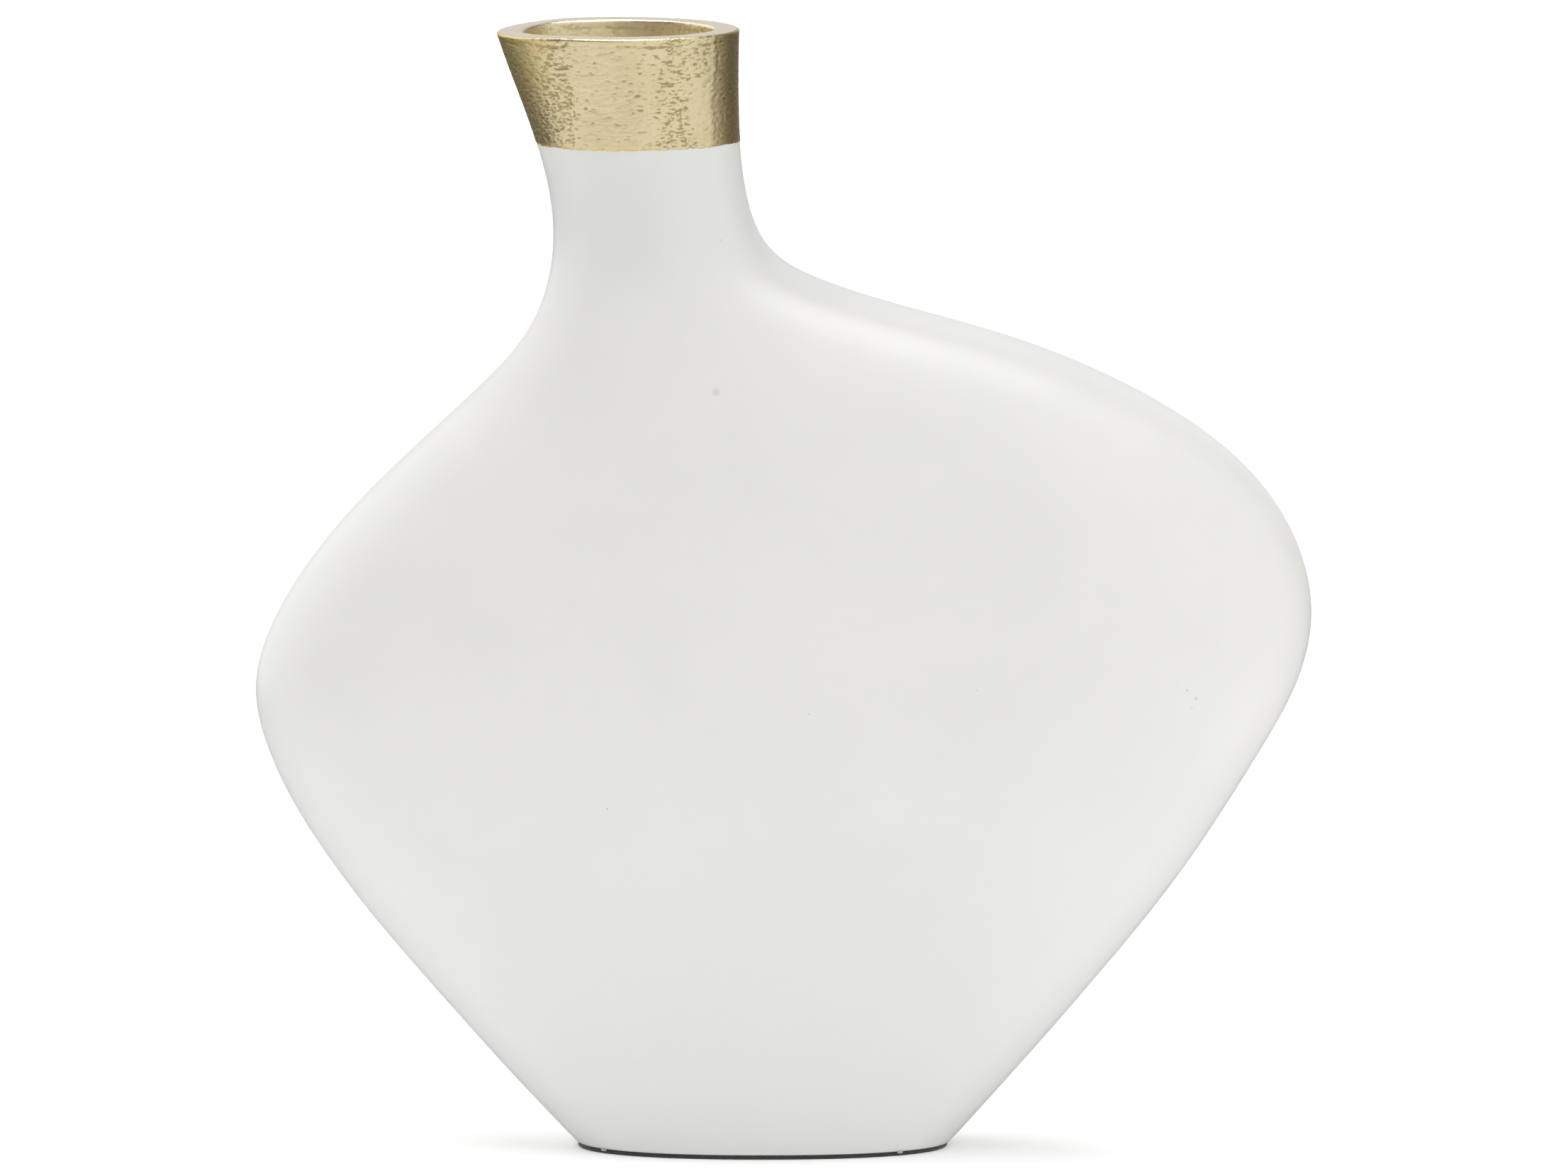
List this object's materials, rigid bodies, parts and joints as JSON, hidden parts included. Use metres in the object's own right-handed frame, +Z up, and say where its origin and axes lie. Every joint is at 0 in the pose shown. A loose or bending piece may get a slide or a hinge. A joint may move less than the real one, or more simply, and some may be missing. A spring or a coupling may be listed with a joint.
{
  "type": "porcelain vase",
  "caption": "Flattened, lopsided porcelain bottle vase with a short leaning neck, an oval mouth with a gold rim and a felt-padded foot.",
  "frame": {"origin": "centre of the foot, on the surface that the vase stands on", "axes": "+Z up, +X towards the long shoulder, +Y towards the back; the front and the back are alike"},
  "size_m": [0.2904, 0.09, 0.3105],
  "materials": {
    "white_glaze": "satin white glaze, faintly pebbled",
    "gold": "pale matt gold over a wrinkled ground, lapped flat on the rim",
    "glue": "clear set glue",
    "felt": "dark grey pressed felt"
  },
  "bodies": {
    "root": {"porcelain_body": "white_glaze", "gold_neck_band": "gold", "glue_film": "glue", "glue_beads": "glue", "felt_pad": "felt"}
  },
  "joints": []
}
